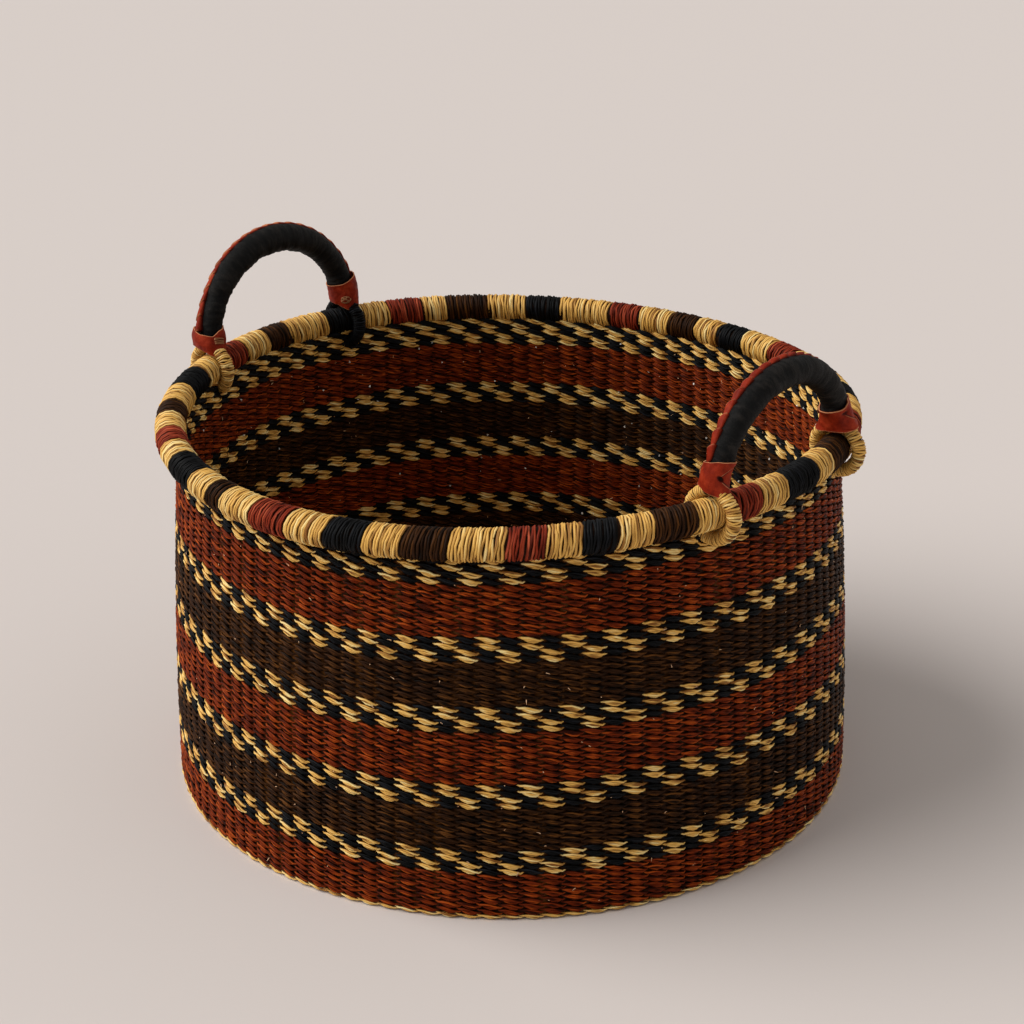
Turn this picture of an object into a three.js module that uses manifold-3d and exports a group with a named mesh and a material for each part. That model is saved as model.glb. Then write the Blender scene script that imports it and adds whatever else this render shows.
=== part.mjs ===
import * as THREE from 'three';
import { mergeVertices } from 'three/addons/utils/BufferGeometryUtils.js';
import Module from 'manifold-3d';

// Round storage basket of twined grass with two leather-covered swing handles.
// Millimetres, +Z up, origin at the centre of the base's underside, handles on +X and -X.

const wasm = await Module();
wasm.setup();

// Wall: rows of twined straw, counted from the rim down
const rowPitch = 3.7;
const bandRows = [
  ['weft_check_1', 4],
  ['weft_rust_1', 8],
  ['weft_check_2', 4],
  ['weft_brown_1', 7],
  ['weft_check_3', 4],
  ['weft_rust_2', 8],
  ['weft_check_4', 4],
  ['weft_brown_2', 7],
  ['weft_check_5', 4],
  ['weft_rust_3', 7],
];
const mouthInsetWidth = 2.5;
const bellySpreadWidth = 8.2;
const footSpreadWidth = 12;
const wallThickness = 6.5;
const wallSegments = 38;
const topRowSlope = 0.37;
const bandGap = 0.1;

// Base
const baseThickness = 6;
const edgeRowHeight = 2.7;
const edgeRowBevelWidth = 1.6;

// Rim: a hoop bound with straw, natural and coloured wraps by turns
const rimRadius = 200;
const rimTubeRadius = 9.2;
const rimSides = 10;
const rimSaddleHeight = 3;
const wrapThickness = 1.6;
const wrapColours = ['rust', 'black', 'brown'];

// Where each coloured wrap begins and ends round the rim, in degrees, in the order of the colours
const wrapSpans = [
  [63, 69.8], [77.8, 84.1], [89.8, 95.8],
  [102.5, 108.6], [119, 125.8], [133.4, 141.8],
  [146.8, 153.8], [161, 167.5], [176.8, 182.5],
  [189.5, 195.8], [204.3, 212.5], [219.8, 225],
  [231.8, 237.8], [243.5, 251.8], [257.5, 261.3],
  [268.3, 275.3], [282.3, 288.5], [294.5, 301.3],
  [309.5, 315.3], [320.5, 325.8], [331.3, 338.3],
  [344.3, 350.5], [356.3, 364.8], [370, 377],
  [384, 390.2], [397.8, 404.2], [410.5, 416.6],
];

// Handles
const eyeHalfAngle = 17.2;
const shoulderHeight = 16;
const archSteps = 18;
const coverSides = 10;
const coverApexRadius = 7.9;
const coverFootRadius = 7.2;
const coverSwell = 0.7;
const coreRadius = 4.8;
const coreSides = 8;
const rightApexHeight = 62;
const leftApexHeight = 69;
const rightSeam = -36;
const leftSeam = 36;
const handles = [
  {
    side: 'right',
    turn: 0,
    lean: 3,
    apexHeight: rightApexHeight,
    seam: rightSeam,
    windings: ['natural', 'natural'],
  },
  {
    side: 'left',
    turn: 180,
    lean: 6,
    apexHeight: leftApexHeight,
    seam: leftSeam,
    windings: ['black', 'natural'],
  },
];

// Eyes: rings of straw-wound grass that go round the rim under each handle foot
const eyeSlackGap = 1.3;
const eyeTubeRadius = 3.75;
const eyeLoops = 16;
const eyeOpenHalfAngle = 32;
const strandThickness = 1.3;
const strandWidth = 2.9;
const strandSteps = 8;
const strandSides = 5;

// Leather trim
const collarFootHeight = 14;
const collarTopHeight = 31;
const collarTopRadius = 9.3;
const collarFootRadius = 10.3;
const collarSides = 12;
const collarSteps = 4;
const pipingThickness = 2.2;
const pipingValleyHalfWidth = 2.1;
const pipingPeakHalfWidth = 3.2;
const pipingTaper = 0.6;
const pipingScallops = 19;
const knotRadius = 3.2;
const knotThickness = 1.4;
const knotShoulder = 0.6;
const knotHeight = 23;

// Running and seating clearances
const seatGap = 0.3;
const coreGap = 0.5;
const notchGap = 0.6;
const weldDistance = 1e-4;

const mouthRadius = rimRadius - mouthInsetWidth;
const bellyRadius = mouthRadius + bellySpreadWidth;
const footRadius = mouthRadius + footSpreadWidth;
const totalRows = bandRows.reduce((sum, [, rows]) => sum + rows, 0);
const wallTop = edgeRowHeight + totalRows * rowPitch;
const rimHeight = wallTop + seatGap + Math.sqrt(rimTubeRadius ** 2 - mouthInsetWidth ** 2);
const eyeRadius = rimTubeRadius + eyeSlackGap + eyeTubeRadius;
const degrees = THREE.MathUtils.degToRad;
const halfChord = rimRadius * Math.sin(degrees(eyeHalfAngle));
const chordDistance = rimRadius * Math.cos(degrees(eyeHalfAngle));

const finishes = {
  rust: { color: 0x7d3314, roughness: 0.62, metalness: 0 },
  brown: { color: 0x3d2713, roughness: 0.62, metalness: 0 },
  black: { color: 0x17181b, roughness: 0.55, metalness: 0 },
  natural: { color: 0xc79c55, roughness: 0.58, metalness: 0 },
  check: { color: 0x6e5a35, roughness: 0.6, metalness: 0 },
  leatherBlack: { color: 0x222223, roughness: 0.5, metalness: 0 },
  leatherRed: { color: 0x93301f, roughness: 0.48, metalness: 0 },
  grass: { color: 0x9c7c48, roughness: 0.8, metalness: 0 },
};

function makeMesh(name, geometry, finish) {
  geometry.computeVertexNormals();
  const mesh = new THREE.Mesh(geometry, new THREE.MeshStandardMaterial(finishes[finish]));
  mesh.name = name;
  return mesh;
}

// Height that the rim and, in proportion, the wall gain at each side: high at the handles, low between
function saddleLift(x, y, z) {
  return rimSaddleHeight * (z / rimHeight) * Math.cos(2 * Math.atan2(y, x));
}

function liftGeometry(geometry) {
  const position = geometry.getAttribute('position');
  for (let i = 0; i < position.count; i += 1) {
    const [x, y, z] = [position.getX(i), position.getY(i), position.getZ(i)];
    position.setZ(i, z + saddleLift(x, y, z));
  }
  return geometry;
}

// Position-only geometry with shared vertices and no collapsed triangles
function weld(geometry) {
  const bare = geometry.clone();
  for (const name of ['normal', 'uv']) {
    bare.deleteAttribute(name);
  }
  const merged = mergeVertices(bare, weldDistance);
  const index = merged.getIndex().array;
  const kept = [];
  for (let i = 0; i < index.length; i += 3) {
    const [a, b, c] = [index[i], index[i + 1], index[i + 2]];
    if (a !== b && b !== c && c !== a) {
      kept.push(a, b, c);
    }
  }
  merged.setIndex(kept);
  return merged;
}

function toSolid(geometry) {
  const welded = weld(geometry);
  return new wasm.Manifold(new wasm.Mesh({
    numProp: 3,
    vertProperties: new Float32Array(welded.getAttribute('position').array),
    triVerts: new Uint32Array(welded.getIndex().array),
  }));
}

function fromSolid(solid) {
  const mesh = solid.getMesh();
  const geometry = new THREE.BufferGeometry();
  geometry.setAttribute('position', new THREE.BufferAttribute(mesh.vertProperties.slice(), 3));
  geometry.setIndex(Array.from(mesh.triVerts));
  return geometry;
}

// Solid skinned over a list of rings, each a list of as many points.
// A closed loft joins its last ring to its first; an open one gets a cap at each end.
function loft(rings, closed) {
  const sides = rings[0].length;
  const points = rings.flat();
  const index = [];
  const spans = closed ? rings.length : rings.length - 1;
  for (let i = 0; i < spans; i += 1) {
    const here = i * sides;
    const next = ((i + 1) % rings.length) * sides;
    for (let j = 0; j < sides; j += 1) {
      const k = (j + 1) % sides;
      index.push(here + j, here + k, next + k, here + j, next + k, next + j);
    }
  }
  if (!closed) {
    const last = (rings.length - 1) * sides;
    for (let j = 1; j < sides - 1; j += 1) {
      index.push(0, j + 1, j, last, last + j, last + j + 1);
    }
  }
  const geometry = new THREE.BufferGeometry().setFromPoints(points);
  geometry.setIndex(index);
  return geometry;
}

function polygonShape(radius, sides) {
  const corners = [];
  for (let i = 0; i < sides; i += 1) {
    const angle = (2 * Math.PI * (i + 0.5)) / sides;
    corners.push(new THREE.Vector2(radius * Math.cos(angle), radius * Math.sin(angle)));
  }
  return new THREE.Shape(corners);
}

// Outer radius of the wall: widest at the foot, drawn in towards the mouth
function wallRadius(z) {
  const s = z / wallTop;
  const foot = (1 - s) * (1 - 2 * s) * footRadius;
  const belly = 4 * s * (1 - s) * bellyRadius;
  const mouth = s * (2 * s - 1) * mouthRadius;
  return foot + belly + mouth;
}

function revolve(profile, segments) {
  const closedProfile = profile.map(([r, z]) => new THREE.Vector2(r, z));
  closedProfile.push(closedProfile[0].clone());
  return weld(new THREE.LatheGeometry(closedProfile, segments).rotateX(Math.PI / 2));
}

function makeBand(name, low, high, topRise) {
  const outer = [[wallRadius(low), low], [wallRadius(high), high]];
  const inner = [
    [wallRadius(high) - wallThickness, high + topRise],
    [wallRadius(low) - wallThickness, low],
  ];
  const ring = liftGeometry(revolve([...outer, ...inner], wallSegments));
  const finish = name.split('_')[1];
  return makeMesh(name, ring, finish);
}

// Slots under the rim, one for each eye, cut down from the top row
function cutEyeSlots(mesh) {
  const depth = eyeRadius + eyeTubeRadius + notchGap;
  const slotReach = 4 * eyeRadius;
  const slotWidth = 2 * (eyeTubeRadius + notchGap);
  let solid = toSolid(mesh.geometry);
  for (const { turn } of handles) {
    for (const end of [-1, 1]) {
      const box = new THREE.BoxGeometry(slotReach, slotWidth, 2 * depth);
      box.translate(chordDistance, end * halfChord, eyeHeight());
      box.rotateZ(degrees(turn));
      solid = solid.subtract(toSolid(box));
    }
  }
  mesh.geometry = fromSolid(solid);
  mesh.geometry.computeVertexNormals();
}

// Height of the hinge axis, which is the rim's own centre line at the eyes
function eyeHeight() {
  return rimHeight + rimSaddleHeight * Math.cos(2 * degrees(eyeHalfAngle));
}

// The top row slopes up inwards, under the round of the rim
function makeWall() {
  const bands = [];
  let high = wallTop;
  for (const [name, rows] of bandRows) {
    const low = high - rows * rowPitch;
    const rise = high === wallTop ? topRowSlope * wallThickness : 0;
    bands.push(makeBand(name, low + bandGap, high, rise));
    high = low;
  }
  cutEyeSlots(bands[0]);
  return bands;
}

function makeBase() {
  const discRadius = wallRadius(baseThickness) - wallThickness - seatGap;
  const disc = revolve([[0, 0], [discRadius, 0], [discRadius, baseThickness], [0, baseThickness]], wallSegments);
  const inner = discRadius + seatGap;
  const outer = wallRadius(edgeRowHeight);
  const edgeRow = revolve([
    [inner, 0],
    [outer - edgeRowBevelWidth, 0],
    [outer, edgeRowBevelWidth],
    [outer, edgeRowHeight],
    [inner, edgeRowHeight],
  ], wallSegments);
  return [makeMesh('base_weave', disc, 'natural'), makeMesh('base_edge_row', edgeRow, 'natural')];
}

// One round of the rim's section at an angle round the basket
function rimPoint(angle, radius, around) {
  const reach = rimRadius + radius * Math.cos(around);
  const centre = rimHeight + rimSaddleHeight * Math.cos(2 * angle);
  return new THREE.Vector3(reach * Math.cos(angle), reach * Math.sin(angle), centre + radius * Math.sin(around));
}

function sideAngle(i, sides) {
  return (2 * Math.PI * i) / sides;
}

function rimRing(angle, radius) {
  const ring = [];
  for (let i = 0; i < rimSides; i += 1) {
    ring.push(rimPoint(angle, radius, -sideAngle(i, rimSides)));
  }
  return ring;
}

// The grass hoop with its natural wraps, stepped down where a coloured wrap goes round it
function makeHoop() {
  const bareRadius = rimTubeRadius - wrapThickness - seatGap;
  const fullTurn = 360;
  const rings = [];
  wrapSpans.forEach(([start, end], k) => {
    const next = k + 1 < wrapSpans.length ? wrapSpans[k + 1][0] : wrapSpans[0][0] + fullTurn;
    rings.push(rimRing(degrees(start), rimTubeRadius));
    rings.push(rimRing(degrees(start), bareRadius));
    rings.push(rimRing(degrees(end), bareRadius));
    rings.push(rimRing(degrees(end), rimTubeRadius));
    rings.push(rimRing(degrees((end + next) / 2), rimTubeRadius));
  });
  return makeMesh('rim_hoop', loft(rings, true), 'natural');
}

function makeWrap([start, end], k) {
  const low = degrees(start) + seatGap / rimRadius;
  const high = degrees(end) - seatGap / rimRadius;
  const inside = rimTubeRadius - wrapThickness;
  const rings = [];
  for (let i = 0; i < rimSides; i += 1) {
    const around = sideAngle(i, rimSides);
    rings.push([
      rimPoint(low, rimTubeRadius, around),
      rimPoint(high, rimTubeRadius, around),
      rimPoint(high, inside, around),
      rimPoint(low, inside, around),
    ]);
  }
  const colour = wrapColours[k % wrapColours.length];
  const number = Math.floor(k / wrapColours.length) + 1;
  return makeMesh(`rim_wrap_${colour}_${number}`, loft(rings, true), colour);
}

function makeRim() {
  return [makeHoop(), ...wrapSpans.map(makeWrap)];
}

// The handle end on the -Y side of the basket is its front
function endName(handle, end) {
  return end * Math.cos(degrees(handle.turn)) < 0 ? 'front' : 'back';
}

// Centre line of a handle in its own frame: hinge axis along Y, up along Z, outwards along X.
// Straight feet run up from a given height to the shoulders, with a half ellipse over them.
class ArchLine extends THREE.Curve {
  constructor(apexHeight, foot) {
    super();
    this.rise = apexHeight - shoulderHeight;
    this.start = foot < shoulderHeight
      ? (foot - shoulderHeight) / this.rise
      : Math.asin((foot - shoulderHeight) / this.rise);
  }

  getPoint(t, target = new THREE.Vector3()) {
    const turn = this.start + t * (Math.PI - 2 * this.start);
    if (turn < 0) {
      return target.set(0, -halfChord, shoulderHeight + turn * this.rise);
    }
    if (turn > Math.PI) {
      return target.set(0, halfChord, shoulderHeight + (Math.PI - turn) * this.rise);
    }
    return target.set(0, -halfChord * Math.cos(turn), shoulderHeight + this.rise * Math.sin(turn));
  }

  // Outward normal, in the plane of the arch
  normalAt(t) {
    const along = this.getTangent(t);
    return new THREE.Vector3(0, -along.z, along.y);
  }

  // Point of a round section about the line: 0 faces away from the arch's middle, a quarter turn faces +X
  sectionPoint(t, radius, around) {
    const sideways = new THREE.Vector3(1, 0, 0);
    return this.getPoint(t)
      .addScaledVector(this.normalAt(t), radius * Math.cos(around))
      .addScaledVector(sideways, radius * Math.sin(around));
  }

  // Parameter at which the rising foot reaches a height
  atHeight(height) {
    const turn = height < shoulderHeight
      ? (height - shoulderHeight) / this.rise
      : Math.asin((height - shoulderHeight) / this.rise);
    return (turn - this.start) / (Math.PI - 2 * this.start);
  }
}

// Open tube along a stretch of the line, with an outer radius that may change and an even bore
function hollowTube(line, from, to, steps, sides, outerRadius, bore) {
  const rings = [];
  for (let i = 0; i < sides; i += 1) {
    const around = sideAngle(i + 0.5, sides);
    const outside = [];
    const inside = [];
    for (let j = 0; j <= steps; j += 1) {
      const share = j / steps;
      const t = THREE.MathUtils.lerp(from, to, share);
      outside.push(line.sectionPoint(t, outerRadius(share), around));
      inside.push(line.sectionPoint(t, bore, around));
    }
    rings.push([...inside, ...outside.reverse()]);
  }
  return loft(rings, true);
}

// Leather tube, a little thinner at its feet, open at both ends on the grass core
function makeCover(handle) {
  const line = new ArchLine(handle.apexHeight, eyeRadius + eyeTubeRadius + seatGap);
  const swelling = (share) => THREE.MathUtils.lerp(
    coverFootRadius,
    coverApexRadius,
    Math.sin(Math.PI * share) ** coverSwell,
  );
  const tube = hollowTube(line, 0, 1, archSteps, coverSides, swelling, coreRadius + coreGap);
  return makeMesh(`${handle.side}_handle_cover`, tube, 'leatherBlack');
}

function makeEyeRing(end, tubeRadius) {
  const tubeSides = 8;
  const ringSteps = 24;
  const ring = new THREE.TorusGeometry(eyeRadius, tubeRadius, tubeSides, ringSteps);
  return ring.rotateX(Math.PI / 2).translate(0, end * halfChord, 0);
}

// Rope of grass inside the leather, each end turned round into an eye
function makeCore(handle) {
  const line = new ArchLine(handle.apexHeight, eyeRadius);
  const rope = new THREE.ExtrudeGeometry(polygonShape(coreRadius, coreSides), {
    steps: archSteps,
    bevelEnabled: false,
    extrudePath: line,
  });
  let solid = toSolid(rope);
  for (const end of [-1, 1]) {
    solid = solid.add(toSolid(makeEyeRing(end, eyeCoreRadius())));
  }
  return makeMesh(`${handle.side}_handle_core`, fromSolid(solid), 'grass');
}

function eyeCoreRadius() {
  return eyeTubeRadius - strandThickness - coreGap;
}

// Middle of the strand at a place along the winding, and its outward direction
function strandFrame(end, along) {
  const open = degrees(eyeOpenHalfAngle);
  const sweep = open + along * 2 * (Math.PI - open);
  const roll = along * eyeLoops * 2 * Math.PI;
  const reach = new THREE.Vector3(Math.sin(sweep), 0, Math.cos(sweep));
  const outward = reach.clone().multiplyScalar(Math.cos(roll));
  outward.y = Math.sin(roll);
  const middle = reach.multiplyScalar(eyeRadius).addScaledVector(outward, eyeTubeRadius - strandThickness / 2);
  middle.y += end * halfChord;
  return { middle, outward };
}

// Flat straw wound round an eye as one unbroken strand
function makeEyeWinding(handle, end, finish) {
  const steps = eyeLoops * strandSteps;
  const frames = [];
  for (let i = 0; i <= steps; i += 1) {
    frames.push(strandFrame(end, i / steps));
  }
  const rings = frames.map(({ middle, outward }, i) => {
    const before = frames[Math.max(i - 1, 0)].middle;
    const after = frames[Math.min(i + 1, steps)].middle;
    const along = after.clone().sub(before).normalize();
    const across = along.cross(outward).normalize();
    const ring = [];
    for (let j = 0; j < strandSides; j += 1) {
      const angle = sideAngle(j, strandSides);
      ring.push(middle.clone()
        .addScaledVector(outward, (strandThickness / 2) * Math.cos(angle))
        .addScaledVector(across, (strandWidth / 2) * Math.sin(angle)));
    }
    return ring;
  });
  const name = `${handle.side}_eye_winding_${endName(handle, end)}`;
  reportLeastGap(name, rings);
  return makeMesh(name, loft(rings, false), finish);
}

// Least distance between points of the strand that lie most of a loop apart
function reportLeastGap(name, rings) {
  let least = Infinity;
  for (let i = 0; i < rings.length; i += 1) {
    for (let j = i + strandSteps - 2; j < Math.min(i + 2 * strandSteps, rings.length); j += 1) {
      for (const a of rings[i]) {
        for (const b of rings[j]) {
          least = Math.min(least, a.distanceTo(b));
        }
      }
    }
  }
  console.log(`${name}: least gap to itself ${least.toFixed(2)} mm`);
}

// Leather collar round a handle foot, notched where the eye comes out of it
function makeCollar(handle, end) {
  const line = new ArchLine(handle.apexHeight, collarFootHeight);
  const top = line.atHeight(collarTopHeight);
  const bore = coverFootRadius + seatGap + coreGap;
  const flare = (share) => THREE.MathUtils.lerp(collarFootRadius, collarTopRadius, share);
  const sleeve = hollowTube(line, 0, top, collarSteps, collarSides, flare, bore);
  const eye = makeEyeRing(-1, eyeTubeRadius + seatGap);
  const notched = fromSolid(toSolid(sleeve).subtract(toSolid(eye)));
  if (end > 0) {
    notched.rotateZ(Math.PI);
  }
  return makeMesh(`${handle.side}_collar_${endName(handle, end)}`, notched, 'leatherRed');
}

// Scalloped leather strip along the seam of the cover, from collar to collar.
// The seam's angle is taken from the outside of the arch towards +X.
function makePiping(handle) {
  const line = new ArchLine(handle.apexHeight, collarTopHeight + seatGap);
  const inFace = coverApexRadius * Math.cos(Math.PI / coverSides) + seatGap;
  const outFace = inFace + pipingThickness;
  const stations = 2 * pipingScallops;
  const seam = degrees(handle.seam);
  const rings = [];
  for (let i = 0; i <= stations; i += 1) {
    const half = i % 2 === 0 ? pipingValleyHalfWidth : pipingPeakHalfWidth;
    const t = i / stations;
    const normal = line.normalAt(t);
    const sideways = new THREE.Vector3(1, 0, 0);
    const outward = normal.clone().multiplyScalar(Math.cos(seam)).addScaledVector(sideways, Math.sin(seam));
    const across = sideways.multiplyScalar(Math.cos(seam)).addScaledVector(normal, -Math.sin(seam));
    const middle = line.getPoint(t);
    const corner = (reach, side) => middle.clone()
      .addScaledVector(outward, reach)
      .addScaledVector(across, side);
    rings.push([
      corner(inFace, half),
      corner(inFace, -half),
      corner(outFace, -half * pipingTaper),
      corner(outFace, half * pipingTaper),
    ]);
  }
  return makeMesh(`${handle.side}_handle_piping`, loft(rings, false), 'leatherRed');
}

// Flat knot of straw on the collar's inner face, where the core is tied through
function makeKnot(handle, end) {
  const line = new ArchLine(handle.apexHeight, collarFootHeight);
  const at = line.getPoint(line.atHeight(knotHeight));
  const face = THREE.MathUtils.lerp(collarFootRadius, collarTopRadius, 0.5);
  const sides = 8;
  const rings = [[0, 1], [knotShoulder, 1], [1, knotShoulder]].map(([depth, share]) => {
    const ring = [];
    for (let i = 0; i < sides; i += 1) {
      const angle = sideAngle(i, sides);
      ring.push(new THREE.Vector3(
        -(face + seatGap + depth * knotThickness),
        -end * at.y + knotRadius * share * Math.cos(angle),
        at.z - knotRadius * share * Math.sin(angle),
      ));
    }
    return ring;
  });
  return makeMesh(`${handle.side}_knot_${endName(handle, end)}`, loft(rings, false), 'natural');
}

function makeHandle(handle) {
  const leaning = new THREE.Group();
  leaning.rotation.y = degrees(handle.lean);
  leaning.add(makeCore(handle), makeCover(handle), makePiping(handle));
  [-1, 1].forEach((end, i) => {
    leaning.add(makeCollar(handle, end));
    leaning.add(makeEyeWinding(handle, end, handle.windings[i]));
    leaning.add(makeKnot(handle, end));
  });
  const seat = new THREE.Group();
  seat.position.set(Math.cos(degrees(handle.turn)) * chordDistance, 0, eyeHeight());
  seat.rotation.z = degrees(handle.turn);
  seat.add(leaning);
  return seat;
}

const group = new THREE.Group();
group.add(...makeBase(), ...makeWall(), ...makeRim());
for (const handle of handles) {
  group.add(makeHandle(handle));
}

export default group;
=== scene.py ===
import bisect
from functools import partial
from math import cos, degrees, exp, hypot, pi, radians, sin, tau
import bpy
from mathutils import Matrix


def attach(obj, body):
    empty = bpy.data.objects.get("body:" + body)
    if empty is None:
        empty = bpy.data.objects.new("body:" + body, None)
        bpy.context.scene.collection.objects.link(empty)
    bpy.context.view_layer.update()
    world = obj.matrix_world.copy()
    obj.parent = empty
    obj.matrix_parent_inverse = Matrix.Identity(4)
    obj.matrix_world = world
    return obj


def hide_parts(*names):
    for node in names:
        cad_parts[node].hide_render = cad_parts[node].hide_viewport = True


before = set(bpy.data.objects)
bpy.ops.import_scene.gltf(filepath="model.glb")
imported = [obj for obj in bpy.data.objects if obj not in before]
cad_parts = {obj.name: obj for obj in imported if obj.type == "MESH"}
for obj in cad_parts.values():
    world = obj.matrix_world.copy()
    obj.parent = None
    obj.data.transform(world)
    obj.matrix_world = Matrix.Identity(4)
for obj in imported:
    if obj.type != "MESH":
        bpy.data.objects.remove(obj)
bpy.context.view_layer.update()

from types import SimpleNamespace

import bpy
from mathutils import Matrix, Vector, noise

# A round basket of twined grass, with two leather-covered handles that swing on its rim. In metres.

# Wall: bands from the rim down, as name and number of rows. A name starts with the kind of straw.
ROW_PITCH = 0.0037
BANDS = (
    ("check_1", 4), ("rust_1", 8), ("check_2", 4), ("brown_1", 7), ("check_3", 4),
    ("rust_2", 8), ("check_4", 4), ("brown_2", 7), ("check_5", 4), ("rust_3", 7),
)
WALL_TOP = 0.2136
FOOT_RADIUS = 0.2095
BELLY_RADIUS = 0.2057
MOUTH_RADIUS = 0.1975
BASE_RADIUS = 0.2028
BASE_MIDDLE = 0.003
BASE_ROW_PITCH = 0.0042

# Twining: stakes, and how deep in the wall the middle of the weave lies
STAKES = 114
FIRST_STAKE = radians(4.75)
WEAVE_DEPTH = 0.0026

# Rim: where each coloured wrap begins and ends, in degrees, by turns rust, black and brown
RIM_RADIUS = 0.2
RIM_HEIGHT = 0.222754
RIM_CORE_RADIUS = 0.008
RIM_SADDLE = 0.003
RIM_STRAW = 0.00166
WRAPS = (
    (63, 69.8), (77.8, 84.1), (89.8, 95.8), (102.5, 108.6), (119, 125.8), (133.4, 141.8),
    (146.8, 153.8), (161, 167.5), (176.8, 182.5), (189.5, 195.8), (204.3, 212.5), (219.8, 225),
    (231.8, 237.8), (243.5, 251.8), (257.5, 261.3), (268.3, 275.3), (282.3, 288.5), (294.5, 301.3),
    (309.5, 315.3), (320.5, 325.8), (331.3, 338.3), (344.3, 350.5), (356.3, 364.8), (370, 377),
    (384, 390.2), (397.8, 404.2), (410.5, 416.6),
)

# Handles: the wound eyes that go round the rim, the hinge line through them, and the leather cover
EYE_HALF_ANGLE = radians(17.2)
EYE_HEIGHT = 0.225229
EYE_RADIUS = 0.0139
EYE_TUBE_RADIUS = 0.0041
EYE_ROPE_RADIUS = 0.003
EYE_PINCH = 0.2
EYE_OUTWARD = 0.0026
EYE_CLEARANCE = 0.0017
SHOULDER_HEIGHT = 0.016
COVER_LOW = 0.0183
ROPE_RADIUS = 0.0047
LEATHER_THICKNESS = 0.0009
HALF_CHORD = RIM_RADIUS * sin(EYE_HALF_ANGLE)
CHORD_DISTANCE = RIM_RADIUS * cos(EYE_HALF_ANGLE)
SIDEWAYS = Vector((1, 0, 0))
CREST = -pi / 2


def maths(operation, reflected=False):
    """A method that adds the Math node of one operation."""
    def method(self, *others):
        values = (*others, self) if reflected else (self, *others)
        return self.tree.add("ShaderNodeMath", values, operation=operation)
    return method


class Socket:
    """One output of a node. Sums on it add the Math nodes that they need."""

    def __init__(self, tree, output):
        self.tree = tree
        self.output = output

    def __neg__(self):
        return self * -1

    __add__ = maths("ADD")
    __radd__ = maths("ADD", reflected=True)
    __sub__ = maths("SUBTRACT")
    __rsub__ = maths("SUBTRACT", reflected=True)
    __mul__ = maths("MULTIPLY")
    __rmul__ = maths("MULTIPLY", reflected=True)
    __truediv__ = maths("DIVIDE")
    __pow__ = maths("POWER")
    floor = maths("FLOOR")
    sin = maths("SINE")
    cos = maths("COSINE")
    exp = maths("EXPONENT")
    abs = maths("ABSOLUTE")
    at_least = maths("MAXIMUM")
    below = maths("LESS_THAN")
    above = maths("GREATER_THAN")


class Tree:
    """A node tree, with one way to add any node: its type, the values of its sockets, in order or by name,
    and its settings."""

    def __init__(self, owner):
        self.owner = owner

    def add(self, kind, values=(), output=0, **settings):
        node = self.owner.nodes.new(kind)
        for key, value in settings.items():
            setattr(node, key, value)
        for key, value in values.items() if isinstance(values, dict) else enumerate(values):
            if isinstance(value, Socket):
                self.owner.links.new(value.output, node.inputs[key])
            else:
                node.inputs[key].default_value = value
        return Socket(self, node.outputs[output]) if node.outputs else node

    def vector(self, x, y, z):
        return self.add("ShaderNodeCombineXYZ", (x, y, z))

    def polar(self, angle, reach=1, z=0):
        """The place at an angle and a reach from the Z axis."""
        return self.vector(reach * angle.cos(), reach * angle.sin(), z)

    def parts(self, vector):
        return [self.add("ShaderNodeSeparateXYZ", (vector,), output=part) for part in range(3)]

    def moved(self, vector, offset):
        return self.add("ShaderNodeVectorMath", (vector, offset), operation="ADD")

    def scaled(self, vector, factor):
        return self.add("ShaderNodeVectorMath", {0: vector, "Scale": factor}, operation="SCALE")

    def noise(self, vector, scale=1.0, detail=0.0, roughness=0.5):
        """Smooth noise between about -1 and 1."""
        values = {"Vector": vector, "Scale": scale, "Detail": detail, "Roughness": roughness}
        return self.add("ShaderNodeTexNoise", values) * 2 - 1

    def mix(self, factor, a, b):
        return self.add("ShaderNodeMix", {0: factor, 6: a, 7: b}, output=2, data_type="RGBA")

    def between(self, value, low, high):
        """0 below low, 1 above high, smooth between."""
        return self.add("ShaderNodeMapRange", (value, low, high), interpolation_type="SMOOTHSTEP")

    def bump(self, height, strength, distance):
        return self.add("ShaderNodeBump", {"Strength": strength, "Distance": distance, "Height": height})

    def attribute(self, name, output="Fac"):
        return self.add("ShaderNodeAttribute", output=output, attribute_name=name)

    def index(self):
        return self.add("GeometryNodeInputIndex")

    def named(self, name, kind="FLOAT"):
        return self.add("GeometryNodeInputNamedAttribute", (name,), data_type=kind)

    def stored(self, geometry, name, value, kind="FLOAT"):
        """Keeps a value on each point under a name."""
        values = {"Geometry": geometry, "Name": name, "Value": value}
        return self.add("GeometryNodeStoreNamedAttribute", values, data_type=kind, domain="POINT")


def straw_tree(name, **kinds):
    """A new Geometry Nodes tree with named inputs of each kind, and their sockets by name. Each such tree
    also takes the straw's width, thickness and material."""
    group = bpy.data.node_groups.new(name, "GeometryNodeTree")
    tree = Tree(group)
    for kind, labels in (*kinds.items(), ("Float", "width, thickness"), ("Material", "straw")):
        for label in labels.split(", "):
            group.interface.new_socket(name=label, in_out="INPUT", socket_type="NodeSocket" + kind)
    group.interface.new_socket(name="Geometry", in_out="OUTPUT", socket_type="NodeSocketGeometry")
    start = group.nodes.new("NodeGroupInput")
    given = SimpleNamespace(**{item.name: Socket(tree, item) for item in start.outputs if item.name})
    return tree, given


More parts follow.
